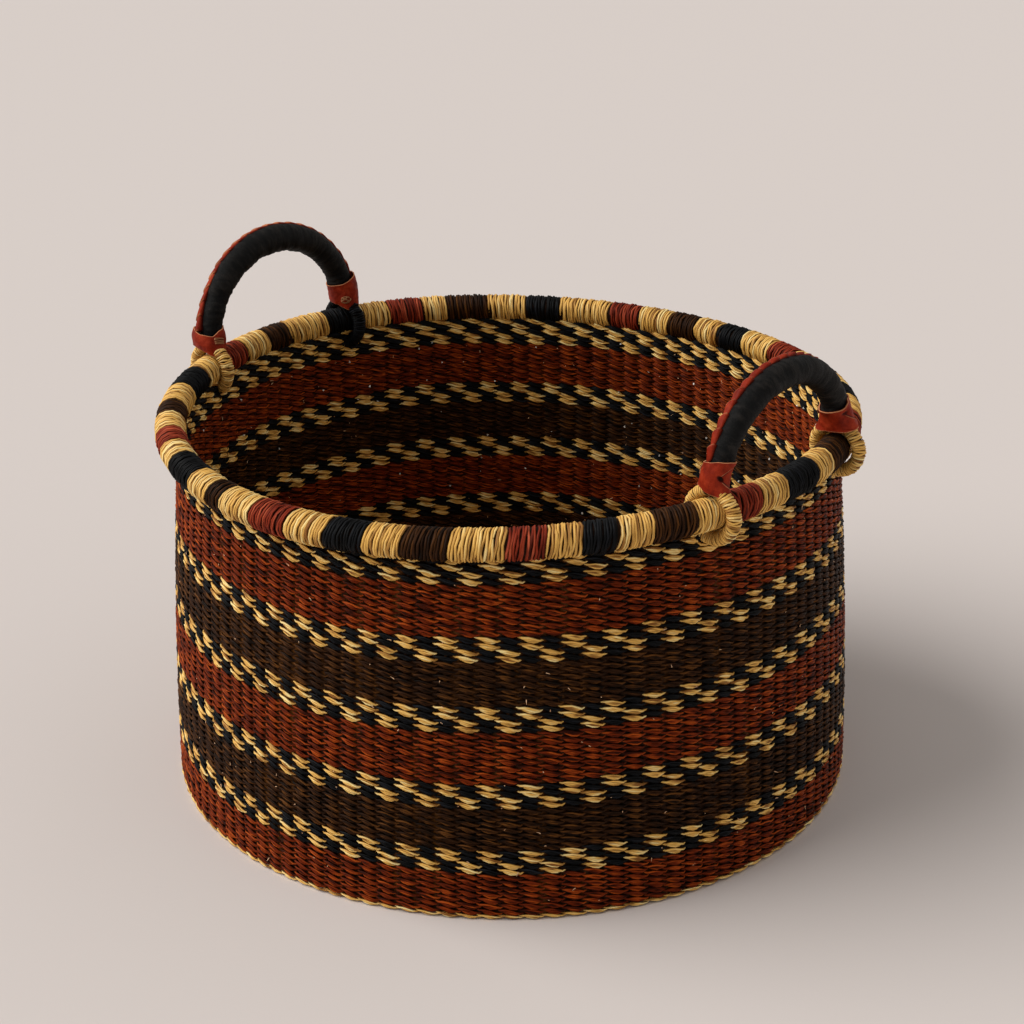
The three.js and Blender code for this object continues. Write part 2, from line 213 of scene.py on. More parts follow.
def lay_straws(tree, given, count, place, line, beyond=None, closed=False, sides=4, **marks):
    """Ends a tree in straw swept along lines of points, and gives its group back. The points of one line
    have the same number, and the marks are what the sweep and the straw's material read."""
    points = tree.add("GeometryNodePoints", (count, place))
    for name, value in {"line": line, **marks}.items():
        kind = "FLOAT_VECTOR" if name in ("outward", "along") else "FLOAT"
        points = tree.stored(points, name, value, kind)
    if beyond:
        points = tree.add("GeometryNodeDeleteGeometry", (points, beyond), domain="POINT")
    circle = tree.add("GeometryNodeCurvePrimitiveCircle", {"Resolution": sides, "Radius": 1.0})
    section = tree.stored(circle, "section", tree.add("GeometryNodeInputPosition"), "FLOAT_VECTOR")
    size = tree.vector(given.thickness / 2, given.width / 2, 1)
    section = tree.add("GeometryNodeTransform", {"Geometry": section, "Scale": size})
    lines = tree.add("GeometryNodePointsToCurves", (points, tree.named("line")))
    if closed:
        lines = tree.add("GeometryNodeSetSplineCyclic", {"Geometry": lines, "Cyclic": True})
    values = {"Curve": lines, "Normal": tree.named("outward", "FLOAT_VECTOR")}
    lines = tree.add("GeometryNodeSetCurveNormal", values, mode="FREE")
    mesh = tree.add("GeometryNodeCurveToMesh", {
        "Curve": lines, "Profile Curve": section, "Scale": tree.named("girth"), "Fill Caps": not closed,
    })
    shape = tree.add("GeometryNodeSetShadeSmooth", (mesh,))
    shape = tree.add("GeometryNodeRealizeInstances", (shape,))
    second = tree.named("weaver").above(0.5)
    for label, chosen in (("straw", True), ("second_straw", second)):
        if hasattr(given, label):
            values = {"Geometry": shape, "Selection": chosen, "Material": getattr(given, label)}
            shape = tree.add("GeometryNodeSetMaterial", values)
    tree.add("NodeGroupOutput", (shape,))
    return tree.owner


def new_object(name, data):
    made = bpy.data.objects.new(name, data)
    bpy.context.scene.collection.objects.link(made)
    return made


def grown(name, group, values, guides=()):
    """The mesh that a tree makes with these inputs, as an object with no modifier left."""
    shape = new_object(name, bpy.data.meshes.new(name))
    shape.data.from_pydata(guides, [], [])
    modifier = shape.modifiers.new("grow", "NODES")
    modifier.node_group = group
    for item in group.interface.items_tree:
        if item.in_out == "INPUT" and item.name in values:
            modifier[item.identifier] = values[item.name]
    evaluated = shape.evaluated_get(bpy.context.evaluated_depsgraph_get())
    made = bpy.data.meshes.new_from_object(evaluated)
    shape.modifiers.remove(modifier)
    shape.data = made
    made.name = name
    turn_outward(made)
    return shape


def turn_outward(mesh):
    """Flips a closed mesh whose faces point in."""
    mesh.calc_loop_triangles()
    volume = 0.0
    for triangle in mesh.loop_triangles:
        a, b, c = (mesh.vertices[i].co for i in triangle.vertices)
        volume += a.dot(b.cross(c))
    if volume < 0:
        mesh.flip_normals()


def skinned(name, lines, material, closed=False, caps=False):
    """A smooth mesh skinned over lines of rings, each ring of as many points."""
    points, faces = [], []
    for rings in lines:
        first, sides = len(points), len(rings[0])
        points.extend(tuple(point) for ring in rings for point in ring)
        for i in range(len(rings) if closed else len(rings) - 1):
            here, after = first + i * sides, first + (i + 1) % len(rings) * sides
            for j in range(sides):
                k = (j + 1) % sides
                faces.append((here + j, here + k, after + k, after + j))
        if caps:
            last = len(points) - sides
            faces.append(tuple(first + j for j in reversed(range(sides))))
            faces.append(tuple(last + j for j in range(sides)))
    mesh = bpy.data.meshes.new(name)
    mesh.from_pydata(points, [], faces)
    mesh.polygons.foreach_set("use_smooth", [True] * len(mesh.polygons))
    mesh.materials.append(material)
    turn_outward(mesh)
    return new_object(name, mesh)


def rows_of(rows, count, point):
    """Rows or rings of points, where point(i, j) gives point j of row i."""
    return [[point(i, j) for j in range(count)] for i in range(rows)]


def mark(shape, name, values, vector=False):
    """Stores one value for each point of a mesh."""
    layer = shape.data.attributes.new(name, "FLOAT_VECTOR" if vector else "FLOAT", "POINT")
    flat = [part for value in values for part in value] if vector else values
    layer.data.foreach_set("vector" if vector else "value", flat)


def finished(shape, body, replaced=()):
    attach(shape, body)
    if replaced:
        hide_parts(*replaced)


def grow(name, group, values, replaced=(), guides=()):
    """Makes a piece of the basket with a tree."""
    finished(grown(name, group, values, guides), "basket", replaced)


def cleared(owner):
    """A material or world with an empty node tree, and that tree."""
    owner.use_nodes = True
    owner.node_tree.nodes.clear()
    return owner, Tree(owner.node_tree)


def end_material(tree, colour, roughness, gloss, bump=None):
    """Ends a material in a Principled shader."""
    values = {"Base Color": colour, "Roughness": roughness, "Specular IOR Level": gloss}
    if bump:
        values["Normal"] = bump
    shader = tree.add("ShaderNodeBsdfPrincipled", values)
    tree.add("ShaderNodeOutputMaterial", (shader,))


def rgb(r, g, b):
    """Linear colour of an sRGB one given in 0 to 255."""
    def linear(value):
        share = value / 255
        return share / 12.92 if share <= 0.04045 else ((share + 0.055) / 1.055) ** 2.4
    return (linear(r), linear(g), linear(b), 1.0)


def straw_material(name, dark, middle, light, gloss=0.08):
    """Split grass: long fibres, lighter and darker straws, and painted shade where straws go under and
    between straws.
    """
    material, tree = cleared(bpy.data.materials.new(name))
    dark, middle, light = rgb(*dark), rgb(*middle), rgb(*light)
    along = tree.attribute("along", "Vector")
    section = tree.attribute("section", "Vector")
    edge = tree.parts(section)[1].abs()
    course = tree.moved(tree.scaled(along, 60.0), tree.scaled(section, 1.3))
    streak = tree.noise(course, 1.0, 3.0, 0.6)
    fine_course = tree.moved(tree.scaled(along, 110.0), tree.scaled(section, 4.5))
    fibre = tree.noise(fine_course, 1.0, 2.0, 0.6)
    shade = tree.attribute("tone") * 1.7 + streak * 0.9 + fibre * 0.6
    colour = tree.mix(tree.between(shade, -0.75, 0.05), dark, middle)
    colour = tree.mix(tree.between(shade, 0.05, 0.8), colour, light)
    # Painted shade: darker where the straws go under each other (low open mark) and along each straw's
    # sides, in the grooves between straws.
    painted_under_shade = 1 - tree.between(tree.attribute("open"), 0.05, 0.7)
    painted_groove_shade = tree.between(edge, 0.38, 0.85) * 0.72
    colour = tree.mix(painted_groove_shade.at_least(painted_under_shade * 0.6), colour, dark)
    bump = tree.bump(streak * 0.6 + fibre * 0.4, 0.5, 0.0002)
    end_material(tree, colour, 0.55 + fibre * 0.08 - streak * 0.05, gloss, bump)
    return material


def black_leather_material():
    """Thin black leather drawn over rope: fine cross creases, a dusty bloom and worn ridges."""
    material, tree = cleared(bpy.data.materials.new("black_leather"))
    skin = tree.attribute("skin", "Vector")
    place = tree.add("ShaderNodeTexCoord", output="Object")
    bend = tree.noise(place, 160.0, 2.0, 0.5)
    stretched = tree.add("ShaderNodeVectorMath", (skin, (0.9, 0.9, 520.0)), operation="MULTIPLY")
    crease = tree.noise(tree.moved(stretched, tree.vector(0, 0, bend * 1.8)), 1.0, 5.0, 0.7)
    grain = tree.noise(place, 1900.0, 3.0, 0.65)
    cloud = tree.noise(place, 70.0, 3.0, 0.55)
    worn = cloud * 0.7 + tree.attribute("ridge") * 0.5 + crease * 1.1 + grain * 0.4
    colour = tree.mix(tree.between(worn, -0.3, 1.2), rgb(8, 8, 8), rgb(44, 40, 37))
    bump = tree.bump(crease + grain * 0.4, 0.8, 0.0004)
    end_material(tree, colour, 0.66 + cloud * 0.12 - crease * 0.08, 0.12, bump)
    return material


def red_leather_material():
    """Thin dyed leather with pale cut edges, painted shade in folds and hollows, and soft grain."""
    material, tree = cleared(bpy.data.materials.new("red_leather"))
    place = tree.add("ShaderNodeTexCoord", output="Object")
    cloud = tree.noise(place, 110.0, 4.0, 0.6)
    grain = tree.noise(place, 1500.0, 3.0, 0.65)
    shade = cloud * 1.2 + grain * 0.25
    painted_fold_shade = tree.between(tree.attribute("painted_fold_shade"), 0.0, 1.0)
    worn = tree.between(tree.attribute("edge") + cloud * 0.25, 0.35, 0.85)
    colour = tree.mix(tree.between(shade, -0.7, 0.3), rgb(88, 14, 3), rgb(142, 39, 15))
    colour = tree.mix(tree.between(shade, 0.0, 0.7) * 0.8, colour, rgb(172, 64, 33))
    # Painted shade: darker where the fold mark is high, under the lace's tabs, in the collar's hole and on
    # its inner face.
    colour = tree.mix(painted_fold_shade * 0.9, colour, rgb(38, 6, 3))
    colour = tree.mix(worn * 0.8, colour, rgb(216, 150, 104))
    bump = tree.bump(grain * 0.7 + cloud * 0.6, 0.5, 0.00022)
    end_material(tree, colour, 0.55 + cloud * 0.1 + worn * 0.2, 0.1, bump)
    return material


STRAW = {
    "natural": straw_material("natural_straw", (134, 84, 26), (238, 186, 92), (255, 231, 160), 0.3),
    "rust": straw_material("rust_straw", (42, 9, 0), (116, 39, 5), (174, 76, 20)),
    "red": straw_material("red_straw", (52, 12, 5), (136, 46, 24), (194, 92, 60)),
    "brown": straw_material("brown_straw", (14, 5, 0), (50, 26, 7), (100, 60, 22)),
    "black": straw_material("black_straw", (2, 2, 2), (9, 10, 12), (26, 28, 33), 0.1),
    "knot": straw_material("knot_straw", (92, 48, 26), (204, 146, 102), (246, 202, 160), 0.1),
    # Near-white lint specks, partly a painted stand-in for points of light showing through the wall.
    "lint_and_light_specks": straw_material("pale_lint_and_light_specks", (190, 176, 150), (242, 236, 222), (255, 252, 246)),
}
BLACK_LEATHER = black_leather_material()
RED_LEATHER = red_leather_material()


def split(index, size):
    """The run of this size that an index is in, and its place in that run."""
    run = ((index + 0.5) / size).floor()
    return run, index - run * size


def wall_radius(height):
    """Outer radius of the wall at a height: widest at the foot, drawn in towards the mouth."""
    s = height / WALL_TOP
    foot = (1 - s) * (1 - 2 * s) * FOOT_RADIUS
    belly = 4 * s * (1 - s) * BELLY_RADIUS
    mouth = s * (2 * s - 1) * MOUTH_RADIUS
    return foot + belly + mouth


def drift(tree, angle, height):
    """How far the stakes lean aside at a place on the wall, in radians."""
    leaning = (9 * ((angle + 1.17).cos() - 1)).exp() * (1 - height / WALL_TOP)
    return tree.noise(tree.polar(angle, 1.6, height * 4)) * 0.03 + leaning * 0.043


def sway(tree, angle, height):
    """Rise of the rows at a place on the wall: the rim's saddle, and the waviness of hand work."""
    saddle = RIM_SADDLE / RIM_HEIGHT * height * (2 * angle).cos()
    loose = tree.between(height, 0.0, 0.02) - tree.between(height, 0.2, WALL_TOP)
    return saddle + tree.noise(tree.polar(angle, 3, height * 14 + 40)) * loose * 0.002


def pushed_aside(tree, place):
    """Moves a place out of the way of the four straw-wound eyes that go through the wall."""
    x, y, z = tree.parts(place)
    across = x.abs() - CHORD_DISTANCE
    rise = z - EYE_HEIGHT
    left_back = x.below(0) * y.above(0)
    aside = y.abs() - HALF_CHORD - EYE_OUTWARD * (1 - left_back)
    reach = (across * across + rise * rise) ** 0.5
    out = reach - EYE_RADIUS
    gap = (out * out + aside * aside) ** 0.5
    push = (EYE_TUBE_RADIUS + EYE_CLEARANCE - gap).at_least(0) / gap
    spread = push * out / reach
    x = x * (1 + spread * across / x.abs())
    y = y * (1 + push * aside / y.abs())
    return tree.vector(x, y, z + spread * rise)


def twined_rows_tree():
    """Rows of pair twining. Two weavers of straw change sides of the wall between each two stakes."""
    tree, given = straw_tree(
        "Twined rows", Int="rows, stakes, steps, straws", Material="second_straw",
        Float="low, start_radius, row_pitch, lay_flat, swing, crossing, spread, twist, seed",
    )
    waves = given.stakes / 2
    ring_points = waves * given.steps
    members = 2 * given.straws
    strand, step = split(tree.index(), ring_points)
    row, member = split(strand, members)
    weaver, straw = split(member, given.straws)
    side = straw - (given.straws - 1) / 2
    shifted = split(split(row, 2)[0] + 1, 2)[1]

    flat = given.lay_flat
    upright = 1 - flat
    angle = step / ring_points * tau
    level = given.low + (row + 0.5) * given.row_pitch * upright
    lean = drift(tree, angle, level)
    turn = waves * (angle + lean - FIRST_STAKE) + pi * weaver + pi * shifted
    stitch = tree.polar(angle, 17, strand * 3.7 + given.seed)
    bulge = tree.noise(stitch)
    lift = tree.noise(tree.moved(stitch, (31, 7, 3)))
    girth = tree.noise(tree.moved(stitch, (5, 23, 61)))
    tone = tree.noise(tree.moved(stitch, (11, 3, 91)), 1.3, 1.0)

    face = turn.cos().abs()
    swung = turn.cos() * (1.5 - 0.5 * face)
    twisted = side * (given.twist * (1 - face) - 0.0002 * side * face)
    out = given.swing * swung + twisted + bulge * 0.0005
    spread = given.spread * (0.12 + 0.88 * face)
    down = given.crossing * (1 + lift * 0.4) * turn.sin() - side * spread + lift * 0.0003
    middle = wall_radius(level) - WEAVE_DEPTH
    radius = middle * upright + (given.start_radius - row * given.row_pitch) * flat
    reach = radius + out * upright - down * flat
    height = level + sway(tree, angle, level) * upright - down * upright - out * flat

    place = pushed_aside(tree, tree.polar(angle, reach, height))
    # The open mark falls to 0.4 where the straws cross and go under, which paints shade there.
    return lay_straws(
        tree, given, given.rows * members * ring_points, place, strand, closed=True,
        outward=tree.polar(angle, upright, -flat), along=tree.polar(angle, radius, strand * 0.37),
        tone=tone * 1.2, open=0.4 + 0.6 * face, weaver=weaver, girth=1 + girth * 0.3,
    )


def wall_values(low, rows, first, second, seed):
    """Inputs for rows of the wall, with two weavers of three straws each."""
    return dict(
        rows=rows, stakes=STAKES, steps=8, straws=3, low=low, row_pitch=ROW_PITCH, lay_flat=0.0,
        swing=0.00155, crossing=0.00105, spread=0.00112, twist=0.0009, width=0.0015,
        thickness=0.00138, seed=seed, straw=STRAW[first], second_straw=STRAW[second],
    )


def make_wall(group):
    """The bands, with one more row at the top that ends under the rim."""
    high = WALL_TOP
    for number, (band, rows) in enumerate(BANDS):
        kind = band.split("_")[0]
        first, second = ("natural", "black") if kind == "check" else (kind, kind)
        low = high - rows * ROW_PITCH
        values = wall_values(low, rows + (number == 0), first, second, 13.0 * number)
        grow("twined_weft_" + band, group, values, ["weft_" + band])
        high = low


def make_base(group):
    """Twined base of natural straw, with fewer stakes towards the middle, and the row at its edge."""
    values = wall_values(0.0006, 1, "natural", "natural", 171.0)
    values.update(row_pitch=0.0023, width=0.0011, spread=0.0006, crossing=0.0006)
    grow("edge_row", group, values, replaced=["base_edge_row"])
    outer = BASE_RADIUS
    for name, rows, stakes in (("outer", 22, STAKES), ("middle", 14, 58), ("inner", 12, 28)):
        values = wall_values(BASE_MIDDLE, rows, "natural", "natural", 200.0 + rows)
        values.update(
            stakes=stakes, steps=6, straws=1, start_radius=outer, lay_flat=1.0, swing=0.0015,
            row_pitch=BASE_ROW_PITCH, crossing=0.001, width=0.0034, thickness=0.0019,
        )
        replaced = ["base_weave"] if name == "outer" else ()
        grow(f"base_{name}_rows", group, values, replaced=replaced)
        outer -= rows * BASE_ROW_PITCH


def make_base_start():
    """Two small coils of straw, one on the other, that fill the middle of the base."""
    def point(level, i):
        turn = tau * i / 32
        reach = 0.0004 + 0.0014 * i / 32
        return Vector(((-0.0011, 0.0011)[level], reach * cos(turn), reach * sin(turn)))

    lines = [tube(points, 0.0011, 0.0008) for points in rows_of(2, 49, point)]
    start = skinned("base_start", lines, STRAW["natural"], caps=True)
    place = Matrix.Translation((0, 0, BASE_MIDDLE))
    start.data.transform(place @ Matrix.Rotation(-pi / 2, 4, "Y"))
    finished(start, "basket")


def on_wall(tree, angle, level, reach):
    """A place at the wall that sways with the rows and leaves room for the eyes, and its height."""
    height = level + sway(tree, angle, level)
    return pushed_aside(tree, tree.polar(angle, reach, height)), height


def stakes_tree():
    """The upright stakes, which come out of the base and end in the rim."""
    tree, given = straw_tree("Stakes", Int="stakes, steps", Float="low, high, first")
    stake, step = split(tree.index(), given.steps)
    share = step / (given.steps - 1)
    level = given.low + share * (given.high - given.low)
    first = stake / given.stakes * tau + given.first
    angle = first - drift(tree, first, level)
    place, height = on_wall(tree, angle, level, wall_radius(level) - WEAVE_DEPTH)
    # open=0.3 paints the stakes and packing grass a fixed share darker, as shade deep inside the wall.
    return lay_straws(
        tree, given, given.stakes * given.steps, place, stake,
        outward=tree.polar(angle), along=tree.vector(height, stake * 0.31, 0),
        tone=tree.noise(tree.vector(stake * 1.7, level * 9, 0)), open=0.3, girth=1.0,
    )


def make_stakes(group):
    """Thick stakes that the weavers go round, and flat grass between them where the weavers cross."""
    values = dict(
        stakes=STAKES, steps=60, low=0.003, high=0.2125, first=FIRST_STAKE,
        width=0.0025, thickness=0.0025, straw=STRAW["brown"],
    )
    grow("stakes", group, values)
    values.update(first=FIRST_STAKE + pi / STAKES, width=0.0098, thickness=0.0013)
    grow("packing_grass", group, values)


def fibres_tree():
    """Loose ends of grass that stand out from the wall, scattered at random inside and out."""
    tree, given = straw_tree(
        "Loose fibres", Int="count, steps, seed", Float="low, high, length, inside_share"
    )
    fibre, step = split(tree.index(), given.steps)
    share = step / (given.steps - 1)

    def chance(number):
        values = {"Seed": given.seed + number, "ID": fibre}
        return tree.add("FunctionNodeRandomValue", values, output=1, data_type="FLOAT")

    inside = chance(1).below(given.inside_share)
    length = given.length * (0.4 + chance(2) * chance(2) * 1.2)
    heading = chance(3) * tau
    level = given.low + chance(4) * (given.high - given.low)
    level = level + share * length * heading.sin()
    angle = chance(5) * tau + share * length * heading.cos() / MOUTH_RADIUS
    stand = 0.0019 + share * share * length * (0.15 + chance(6) * 0.35)
    reach = wall_radius(level) - WEAVE_DEPTH + stand * (1 - 2 * inside)
    place, height = on_wall(tree, angle, level, reach)
    return lay_straws(
        tree, given, given.count * given.steps, place, fibre,
        outward=tree.polar(angle), along=tree.vector(height, fibre * 0.3, share * length),
        tone=0.2 + chance(7) * 0.5, open=1.0, girth=1.2 - share * 0.8,
    )


def make_fibres(group):
    """Loose ends of grass on the wall and under the rim, and near-white specks of lint on the inside that
    also stand for points of light through the wall.
    """
    kinds = (
        ("loose_fibres", 640, 0.006, 0.205, 0.0015, 0.6, 0.0006, 3, "knot"),
        ("loose_ends_under_rim", 26, 0.2095, 0.2125, 0.007, 0.3, 0.00055, 40, "natural"),
        ("lint_and_light_specks", 190, 0.02, 0.205, 0.0009, 1.0, 0.0016, 80, "lint_and_light_specks"),
    )
    for name, count, low, high, length, inside, width, seed, straw in kinds:
        grow(name, group, dict(
            count=count, steps=4, low=low, high=high, length=length, inside_share=inside,
            width=width, thickness=width, seed=seed, straw=STRAW[straw],
        ))


def binding_tree():
    """Straw wound round the rim hoop, one helix to a wrap. Each guide point holds a wrap's centre,
    half width and turns as x, y and z."""
    tree, given = straw_tree(
        "Rim binding", Geometry="guides", Int="wraps, most_turns, steps", Float="tube_radius, seed"
    )
    line_points = given.most_turns * given.steps + 1
    wrap, step = split(tree.index(), line_points)
    place = tree.add("GeometryNodeInputPosition")
    values = {"Geometry": given.guides, "Value": place, "Index": wrap}
    guide = tree.add("GeometryNodeSampleIndex", values, data_type="FLOAT_VECTOR", domain="POINT")
    centre, half_width, turns = tree.parts(guide)
    share = step / (turns * given.steps)
    wound = share * turns
    around = wound * tau - 2.1
    straight = centre + half_width * (2 * share - 1)
    loose = tree.vector(wound * 0.9, around.cos() * 0.9, around.sin() * 0.9)
    wander = tree.noise(tree.moved(loose, tree.vector(wrap * 5.3, given.seed, 0)))
    tilt = 0.0011 + tree.noise(tree.polar(straight, 4, 7.0)) * 0.0018
    angle = straight + (tilt * (around - 0.6).sin() + wander * 0.0013) / RIM_RADIUS
    swell = tree.noise(tree.moved(tree.scaled(loose, 1.7), (3, 9, 27)))
    tucked = 1 - tree.between(wound, 0.0, 0.35) * tree.between(turns - wound, 0.0, 0.35)
    radius = given.tube_radius - given.thickness * 0.5 + swell * 0.0009 - tucked * 0.0018
    reach = RIM_RADIUS + radius * around.cos()
    height = RIM_HEIGHT + RIM_SADDLE * (2 * angle).cos() + radius * around.sin()
    # The open mark falls with swell, so turns that sit lower get painted shade.
    return lay_straws(
        tree, given, given.wraps * line_points, tree.polar(angle, reach, height), wrap,
        beyond=share.above(1.0001), sides=5,
        outward=tree.polar(angle, around.cos(), around.sin()),
        along=tree.vector(around * 0.0092, wrap * 0.7, 0),
        tone=tree.noise(tree.vector(wound * 1.3, wrap * 7.7, given.seed), 1.0, 1.0),
        open=0.62 + swell * 0.6, girth=0.98 + wander * 0.34,
    )


def make_rim(group):
    """The natural and coloured wraps by turns, each with as many turns of straw as fill it."""
    spans = {"rust": [], "black": [], "brown": [], "natural": []}
    starts = [start for start, end in WRAPS[1:]] + [WRAPS[0][0] + 360]
    for number, (start, end) in enumerate(WRAPS):
        spans[("rust", "black", "brown")[number % 3]].append((start, end))
        spans["natural"].append((end, starts[number]))
    for kind, ends in spans.items():
        guides = []
        for start, end in ends:
            half_width = radians(end - start) / 2
            turns = round(2 * half_width * RIM_RADIUS / RIM_STRAW)
            inset = RIM_STRAW * 0.2 / RIM_RADIUS
            guides.append((radians(start + end) / 2, half_width - inset, turns))
        values = dict(
            wraps=len(ends), most_turns=max(guide[2] for guide in guides), steps=13,
            tube_radius=0.0092, width=0.00178, thickness=0.0015, seed=float(len(kind)),
            straw=STRAW["red" if kind == "rust" else kind],
        )
        replaced = ["rim_hoop"] if kind == "natural" else [f"rim_wrap_{kind}_{n + 1}" for n in range(9)]
        grow("rim_binding_" + kind, group, values, replaced, guides)


def make_rim_core():
    """The bundle of stake ends inside the binding."""
    steps, sides = 120, 12

    def point(i, j):
        angle, around = tau * i / steps, tau * j / sides
        reach = RIM_RADIUS + RIM_CORE_RADIUS * cos(around)
        middle = RIM_HEIGHT + RIM_SADDLE * cos(2 * angle)
        return reach * cos(angle), reach * sin(angle), middle + RIM_CORE_RADIUS * sin(around)

    core = skinned("rim_core", [rows_of(steps, sides, point)], STRAW["brown"], closed=True)
    finished(core, "basket")


class Foot(SimpleNamespace):
    """One foot of a handle, at -Y or +Y of its frame by end, and its red collar. It has the radius of the
    cover there and of the collar's top; half the collar's size at its foot, across and along the rim; its
    bulge; how far it sits aside; the angle of a fuller flank, and how much fuller at top and foot; its
    edges as degrees from the outer face and mm up the leg; the tip, upper and lower corner of its tucked
    strip end, measured alike, and the size of the hole there; the knot's place, and whether it is round;
    and how many degrees the eye is turned to the rim, and how far it is out along the hinge line."""


class Handle(SimpleNamespace):
    """A handle in its own frame, hinge line along Y and arch up along Z. It has its turn about the basket
    and its outward lean; its arch's top above the hinge line, how far the arch is dragged to -Y, and if
    that grows towards +Y; the cover's radius at the top; the seam's angle at its start, top and end; and
    for the lace's tabs half their width, what they gain, their rise, and their lift near each foot."""

    def __init__(self, **facts):
        super().__init__(**facts)
        start = -SHOULDER_HEIGHT / (self.apex - SHOULDER_HEIGHT)
        self.points = [self.arch_at(start + (pi - 2 * start) * i / 3000) for i in range(3001)]
        self.runs = [0.0]
        for before, after in zip(self.points, self.points[1:]):
            self.runs.append(self.runs[-1] + (after - before).length)
        self.length = self.runs[-1]
        place = Matrix.Translation((cos(self.turn) * CHORD_DISTANCE, 0, EYE_HEIGHT))
        lean = Matrix.Rotation(radians(self.lean), 4, "Y")
        self.seat = place @ Matrix.Rotation(self.turn, 4, "Z") @ lean

    def arch_at(self, turn):
        """A point of the centre line: straight feet, and half an ellipse that is dragged a little aside."""
        rise = self.apex - SHOULDER_HEIGHT
        share = min(max(turn / pi, 0.0), 1.0)
        skew = 1.5 * share if self.skew else 1.0
        drag = self.drag * sin(pi * share) ** 0.7 * skew
        if turn < 0:
            return Vector((0, -HALF_CHORD, SHOULDER_HEIGHT + turn * rise))
        if turn > pi:
            return Vector((0, HALF_CHORD, SHOULDER_HEIGHT + (pi - turn) * rise))
        return Vector((0, -HALF_CHORD * cos(turn) - drag, SHOULDER_HEIGHT + rise * sin(turn)))

    def place(self, run, around, radius):
        """A point beside the line. The run starts at the hinge line at the foot at -Y, and around is 0 on
        the handle's outer face and turns to +Y."""
        runs, points = self.runs, self.points
        k = min(max(bisect.bisect(runs, run) - 1, 8), len(points) - 10)
        here = points[k].lerp(points[k + 1], (run - runs[k]) / (runs[k + 1] - runs[k]))
        along = (points[k + 9] - points[k - 8]).normalized()
        back = Vector((0, along.z, -along.y))
        return here + SIDEWAYS * (radius * cos(around)) + back * (radius * sin(around))

    def cover_radius(self, share):
        """Radius of the cover at a share of the whole line, thickest at the top of the arch."""
        near, far = (foot.cover for foot in self.feet)
        plain = near + (far - near) * share
        rise = sin(pi * min(max((share - 0.1) / 0.8, 0.0), 1.0)) ** 1.2
        return plain + (self.thick - plain) * rise

    def seam_at(self, share):
        """Angle round the cover, in degrees, where its seam runs at a share of the whole line."""
        first, middle, last = self.seam
        side = abs(2 * share - 1) ** 1.3
        return middle + ((first if share < 0.5 else last) - middle) * side

    def fit(self, shape, slot, node, *places):
        """Moves a piece made in the handle's frame to the basket's, and makes it ride there."""
        whole = self.seat
        for place in places:
            whole = whole @ place
        shape.data.transform(whole)
        finished(shape, self.side + "_handle", [f"{self.side}_{node}"] if node else ())


RIGHT_FRONT = Foot(
    where="front", end=-1, cover=0.006, radius=0.0076, foot_size=(0.0106, 0.0074), bulge=0.0005,
    shift=(-0.0006, -0.001), flank=(34, 0.0012, -0.0018),
    top=((-146, 26.8), (-100, 27.8), (-56, 29.2), (0, 30.4), (34, 31), (110, 28.5)),
    foot=((-146, 14.8), (-100, 13.4), (-56, 12.2), (-20, 11.2), (8, 9.8), (34, 9.8), (60, 12), (90, 13.4),
          (130, 14)),
    tuck=(-48, 21.8, 34, 31, 22, 13.8), hole=1.0, knot=(180, 23, False), eye=(2, EYE_OUTWARD),
)
RIGHT_BACK = Foot(
    where="back", end=1, cover=0.0078, radius=0.0093, foot_size=(0.0134, 0.0092), bulge=0.0,
    shift=(0.0, 0.0), flank=(30, 0.0, -0.0006),
    top=((-149, 27), (-100, 31.4), (-59, 32.4), (-20, 32), (20, 33.4), (90, 30)),
    foot=((-149, 10.2), (-125, 11.2), (-100, 12.4), (-70, 13.0), (-40, 13.6), (-16, 14.8), (6, 15.4),
          (28, 14.4), (60, 14), (130, 13)),
    tuck=(-30, 28.2, 10, 33.0, 26, 17.5), hole=0.5, knot=(180, 22, True), eye=(0, EYE_OUTWARD),
)
LEFT_FRONT = Foot(
    where="front", end=1, cover=0.0065, radius=0.0092, foot_size=(0.0122, 0.0086), bulge=0.0012,
    shift=(0.0013, 0.0011), flank=(0, 0.0, 0.0),
    top=((52, 24.4), (75, 22.6), (105, 21.2), (152, 20.2), (190, 24), (222, 26.8), (300, 26)),
    foot=((60, 13.6), (98, 12.3), (120, 10.9), (138, 9.1), (156, 7.8), (185, 7.6), (207, 8.2),
          (230, 10.2), (262, 13.4), (340, 16.2)),
    tuck=None, hole=0.0, knot=(175, 17.2, False), eye=(0, EYE_OUTWARD),
)
LEFT_BACK = Foot(
    where="back", end=-1, cover=0.0082, radius=0.0098, foot_size=(0.0108, 0.008), bulge=0.0004,
    shift=(-0.0006, -0.0005), flank=(0, 0.0, 0.0),
    top=((50, 28), (130, 28), (180, 29), (220, 29.6), (290, 29)),
    foot=((60, 13.8), (102, 12.6), (128, 10.4), (150, 8.6), (172, 7.8), (198, 7.8), (225, 9.8),
          (242, 12), (262, 13.4)),
    tuck=None, hole=0.0, knot=(141, 15.6, True), eye=(3, 0),
)
HANDLES = (
    Handle(side="right", turn=0, lean=3, apex=0.062, drag=0.0056, skew=True, thick=0.0078,
           seam=(-128, -128, -128), tab=(0.0015, 0.0017, 0.0021), tab_foot=(0.0004, 0.0004),
           feet=(RIGHT_FRONT, RIGHT_BACK)),
    Handle(side="left", turn=pi, lean=6, apex=0.0675, drag=0.0012, skew=False, thick=0.0087,
           seam=(-122, -67, -60), tab=(0.002, 0.0011, 0.0012), tab_foot=(0.0004, 0.0026),
           feet=(LEFT_BACK, LEFT_FRONT)),
)


